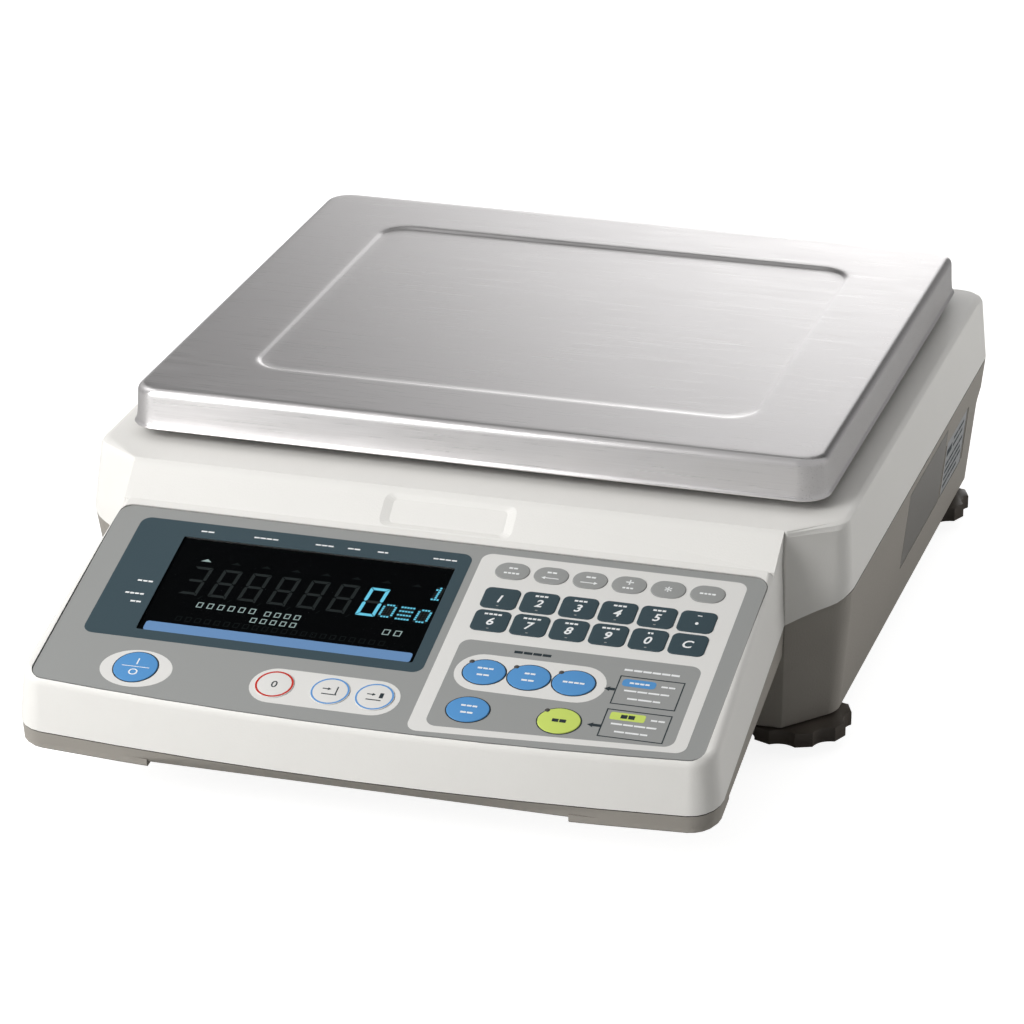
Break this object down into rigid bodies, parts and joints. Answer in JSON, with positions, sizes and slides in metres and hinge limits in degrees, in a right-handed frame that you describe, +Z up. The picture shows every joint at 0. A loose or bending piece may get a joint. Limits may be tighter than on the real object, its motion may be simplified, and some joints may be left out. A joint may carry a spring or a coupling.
{
  "type": "counting scale",
  "caption": "Low bench scale with a raised steel weighing pan, a sloped keypad with a wide display, and levelling hand-wheel feet.",
  "frame": {"origin": "centre of the footprint at floor level, under the foot pads", "axes": "+X to the user's right, +Y away from the user, +Z up"},
  "size_m": [0.33, 0.4386, 0.122],
  "materials": {
    "case_white": "fine matt texture",
    "case_gray": "fine matt texture",
    "brushed_steel": "brushed along the width",
    "cast_aluminium": "as cast",
    "black_rubber": "matt",
    "wheel_brown": "moulded",
    "panel_gray": "printed film",
    "board_green": "solder mask",
    "dark_plastic": "semi-gloss",
    "clear_lens": "tinted and clear",
    "vial_glass": "clear",
    "cover_gray": "semi-gloss",
    "label_silver": "foil label",
    "digit_teal": "printed film",
    "function_gray": "printed film",
    "key_blue": "printed film",
    "key_lime": "printed film",
    "key_pale": "printed film"
  },
  "bodies": {
    "base": {"top_case": "case_white", "bottom_case": "case_gray", "load_cell": "cast_aluminium", "chassis_plate": "cast_aluminium", "keypad_overlay": "panel_gray", "display_lens": "clear_lens", "display_tube": "dark_plastic", "key_board": "board_green", "main_board": "board_green", "power_transformer": "dark_plastic", "power_inlet": "dark_plastic", "serial_port": "cast_aluminium", "side_cover": "cover_gray", "rating_label": "label_silver", "level_vial": "vial_glass", "cell_bolt_fixed_outer": "brushed_steel", "cell_bolt_fixed_inner": "brushed_steel", "cell_bolt_free_inner": "brushed_steel", "cell_bolt_free_outer": "brushed_steel"},
    "weigh_frame": {"pan_support": "cast_aluminium", "pan_cushion_front_left": "black_rubber", "pan_cushion_front_right": "black_rubber", "pan_cushion_rear_left": "black_rubber", "pan_cushion_rear_right": "black_rubber"},
    "weighing_pan": {"weighing_pan": "brushed_steel"},
    "foot_pad_front_left": {"foot_pad_front_left": "black_rubber"},
    "foot_wheel_front_left": {"foot_wheel_front_left": "wheel_brown"},
    "foot_pad_front_right": {"foot_pad_front_right": "black_rubber"},
    "foot_wheel_front_right": {"foot_wheel_front_right": "wheel_brown"},
    "foot_pad_rear_left": {"foot_pad_rear_left": "black_rubber"},
    "foot_wheel_rear_left": {"foot_wheel_rear_left": "wheel_brown"},
    "foot_pad_rear_right": {"foot_pad_rear_right": "black_rubber"},
    "foot_wheel_rear_right": {"foot_wheel_rear_right": "wheel_brown"},
    "key_scale": {"key_scale": "function_gray"},
    "key_print": {"key_print": "function_gray"},
    "key_total": {"key_total": "function_gray"},
    "key_memory": {"key_memory": "function_gray"},
    "key_star": {"key_star": "function_gray"},
    "key_reset": {"key_reset": "function_gray"},
    "key_1": {"key_1": "digit_teal"},
    "key_2": {"key_2": "digit_teal"},
    "key_3": {"key_3": "digit_teal"},
    "key_4": {"key_4": "digit_teal"},
    "key_5": {"key_5": "digit_teal"},
    "key_point": {"key_point": "digit_teal"},
    "key_6": {"key_6": "digit_teal"},
    "key_7": {"key_7": "digit_teal"},
    "key_8": {"key_8": "digit_teal"},
    "key_9": {"key_9": "digit_teal"},
    "key_0": {"key_0": "digit_teal"},
    "key_clear": {"key_clear": "digit_teal"},
    "key_recall": {"key_recall": "key_blue"},
    "key_enter": {"key_enter": "key_blue"},
    "key_sample": {"key_sample": "key_blue"},
    "key_unit_memory": {"key_unit_memory": "key_blue"},
    "key_register": {"key_register": "key_lime"},
    "key_power": {"key_power": "key_blue"},
    "key_zero": {"key_zero": "key_pale"},
    "key_tare_set": {"key_tare_set": "key_pale"},
    "key_tare": {"key_tare": "key_pale"}
  },
  "joints": [
    {"name": "load_deflection", "type": "slide", "parent": "base", "child": "weigh_frame", "axis": [0, 0, 1], "range_m": [-0.0003, 0], "stiffness_N_per_m": 100000, "springref_m": 0.0003},
    {"name": "pan_lift", "type": "slide", "parent": "weigh_frame", "child": "weighing_pan", "axis": [0, 0, 1], "range_m": [0, 0.06]},
    {"name": "foot_level_front_left", "type": "slide", "parent": "base", "child": "foot_pad_front_left", "axis": [0, 0, 1], "range_m": [-0.00625, 0]},
    {"name": "foot_turn_front_left", "type": "hinge", "parent": "foot_pad_front_left", "child": "foot_wheel_front_left", "pos_m": [-0.141, -0.0625, 0.008], "axis": [0, 0, 1], "range_deg": [-1800, 0]},
    {"name": "foot_level_front_right", "type": "slide", "parent": "base", "child": "foot_pad_front_right", "axis": [0, 0, 1], "range_m": [-0.00625, 0]},
    {"name": "foot_turn_front_right", "type": "hinge", "parent": "foot_pad_front_right", "child": "foot_wheel_front_right", "pos_m": [0.141, -0.0625, 0.008], "axis": [0, 0, 1], "range_deg": [-1800, 0]},
    {"name": "foot_level_rear_left", "type": "slide", "parent": "base", "child": "foot_pad_rear_left", "axis": [0, 0, 1], "range_m": [-0.00625, 0]},
    {"name": "foot_turn_rear_left", "type": "hinge", "parent": "foot_pad_rear_left", "child": "foot_wheel_rear_left", "pos_m": [-0.141, 0.182, 0.008], "axis": [0, 0, 1], "range_deg": [-1800, 0]},
    {"name": "foot_level_rear_right", "type": "slide", "parent": "base", "child": "foot_pad_rear_right", "axis": [0, 0, 1], "range_m": [-0.00625, 0]},
    {"name": "foot_turn_rear_right", "type": "hinge", "parent": "foot_pad_rear_right", "child": "foot_wheel_rear_right", "pos_m": [0.141, 0.182, 0.008], "axis": [0, 0, 1], "range_deg": [-1800, 0]},
    {"name": "key_scale_press", "type": "slide", "parent": "base", "child": "key_scale", "axis": [0, 0.2756, -0.9613], "range_m": [0, 0.0004], "stiffness_N_per_m": 20, "springref_m": -0.0004},
    {"name": "key_print_press", "type": "slide", "parent": "base", "child": "key_print", "axis": [0, 0.2756, -0.9613], "range_m": [0, 0.0004], "stiffness_N_per_m": 20, "springref_m": -0.0004},
    {"name": "key_total_press", "type": "slide", "parent": "base", "child": "key_total", "axis": [0, 0.2756, -0.9613], "range_m": [0, 0.0004], "stiffness_N_per_m": 20, "springref_m": -0.0004},
    {"name": "key_memory_press", "type": "slide", "parent": "base", "child": "key_memory", "axis": [0, 0.2756, -0.9613], "range_m": [0, 0.0004], "stiffness_N_per_m": 20, "springref_m": -0.0004},
    {"name": "key_star_press", "type": "slide", "parent": "base", "child": "key_star", "axis": [0, 0.2756, -0.9613], "range_m": [0, 0.0004], "stiffness_N_per_m": 20, "springref_m": -0.0004},
    {"name": "key_reset_press", "type": "slide", "parent": "base", "child": "key_reset", "axis": [0, 0.2756, -0.9613], "range_m": [0, 0.0004], "stiffness_N_per_m": 20, "springref_m": -0.0004},
    {"name": "key_1_press", "type": "slide", "parent": "base", "child": "key_1", "axis": [0, 0.2756, -0.9613], "range_m": [0, 0.0004], "stiffness_N_per_m": 20, "springref_m": -0.0004},
    {"name": "key_2_press", "type": "slide", "parent": "base", "child": "key_2", "axis": [0, 0.2756, -0.9613], "range_m": [0, 0.0004], "stiffness_N_per_m": 20, "springref_m": -0.0004},
    {"name": "key_3_press", "type": "slide", "parent": "base", "child": "key_3", "axis": [0, 0.2756, -0.9613], "range_m": [0, 0.0004], "stiffness_N_per_m": 20, "springref_m": -0.0004},
    {"name": "key_4_press", "type": "slide", "parent": "base", "child": "key_4", "axis": [0, 0.2756, -0.9613], "range_m": [0, 0.0004], "stiffness_N_per_m": 20, "springref_m": -0.0004},
    {"name": "key_5_press", "type": "slide", "parent": "base", "child": "key_5", "axis": [0, 0.2756, -0.9613], "range_m": [0, 0.0004], "stiffness_N_per_m": 20, "springref_m": -0.0004},
    {"name": "key_point_press", "type": "slide", "parent": "base", "child": "key_point", "axis": [0, 0.2756, -0.9613], "range_m": [0, 0.0004], "stiffness_N_per_m": 20, "springref_m": -0.0004},
    {"name": "key_6_press", "type": "slide", "parent": "base", "child": "key_6", "axis": [0, 0.2756, -0.9613], "range_m": [0, 0.0004], "stiffness_N_per_m": 20, "springref_m": -0.0004},
    {"name": "key_7_press", "type": "slide", "parent": "base", "child": "key_7", "axis": [0, 0.2756, -0.9613], "range_m": [0, 0.0004], "stiffness_N_per_m": 20, "springref_m": -0.0004},
    {"name": "key_8_press", "type": "slide", "parent": "base", "child": "key_8", "axis": [0, 0.2756, -0.9613], "range_m": [0, 0.0004], "stiffness_N_per_m": 20, "springref_m": -0.0004},
    {"name": "key_9_press", "type": "slide", "parent": "base", "child": "key_9", "axis": [0, 0.2756, -0.9613], "range_m": [0, 0.0004], "stiffness_N_per_m": 20, "springref_m": -0.0004},
    {"name": "key_0_press", "type": "slide", "parent": "base", "child": "key_0", "axis": [0, 0.2756, -0.9613], "range_m": [0, 0.0004], "stiffness_N_per_m": 20, "springref_m": -0.0004},
    {"name": "key_clear_press", "type": "slide", "parent": "base", "child": "key_clear", "axis": [0, 0.2756, -0.9613], "range_m": [0, 0.0004], "stiffness_N_per_m": 20, "springref_m": -0.0004},
    {"name": "key_recall_press", "type": "slide", "parent": "base", "child": "key_recall", "axis": [0, 0.2756, -0.9613], "range_m": [0, 0.0004], "stiffness_N_per_m": 20, "springref_m": -0.0004},
    {"name": "key_enter_press", "type": "slide", "parent": "base", "child": "key_enter", "axis": [0, 0.2756, -0.9613], "range_m": [0, 0.0004], "stiffness_N_per_m": 20, "springref_m": -0.0004},
    {"name": "key_sample_press", "type": "slide", "parent": "base", "child": "key_sample", "axis": [0, 0.2756, -0.9613], "range_m": [0, 0.0004], "stiffness_N_per_m": 20, "springref_m": -0.0004},
    {"name": "key_unit_memory_press", "type": "slide", "parent": "base", "child": "key_unit_memory", "axis": [0, 0.2756, -0.9613], "range_m": [0, 0.0004], "stiffness_N_per_m": 20, "springref_m": -0.0004},
    {"name": "key_register_press", "type": "slide", "parent": "base", "child": "key_register", "axis": [0, 0.2756, -0.9613], "range_m": [0, 0.0004], "stiffness_N_per_m": 20, "springref_m": -0.0004},
    {"name": "key_power_press", "type": "slide", "parent": "base", "child": "key_power", "axis": [0, 0.2756, -0.9613], "range_m": [0, 0.0004], "stiffness_N_per_m": 20, "springref_m": -0.0004},
    {"name": "key_zero_press", "type": "slide", "parent": "base", "child": "key_zero", "axis": [0, 0.2756, -0.9613], "range_m": [0, 0.0004], "stiffness_N_per_m": 20, "springref_m": -0.0004},
    {"name": "key_tare_set_press", "type": "slide", "parent": "base", "child": "key_tare_set", "axis": [0, 0.2756, -0.9613], "range_m": [0, 0.0004], "stiffness_N_per_m": 20, "springref_m": -0.0004},
    {"name": "key_tare_press", "type": "slide", "parent": "base", "child": "key_tare", "axis": [0, 0.2756, -0.9613], "range_m": [0, 0.0004], "stiffness_N_per_m": 20, "springref_m": -0.0004}
  ],
  "couplings": [
    {"joint": "foot_turn_front_left", "follows": "foot_level_front_left", "rad_per_m": 5026.5},
    {"joint": "foot_turn_front_right", "follows": "foot_level_front_right", "rad_per_m": 5026.5},
    {"joint": "foot_turn_rear_left", "follows": "foot_level_rear_left", "rad_per_m": 5026.5},
    {"joint": "foot_turn_rear_right", "follows": "foot_level_rear_right", "rad_per_m": 5026.5}
  ]
}
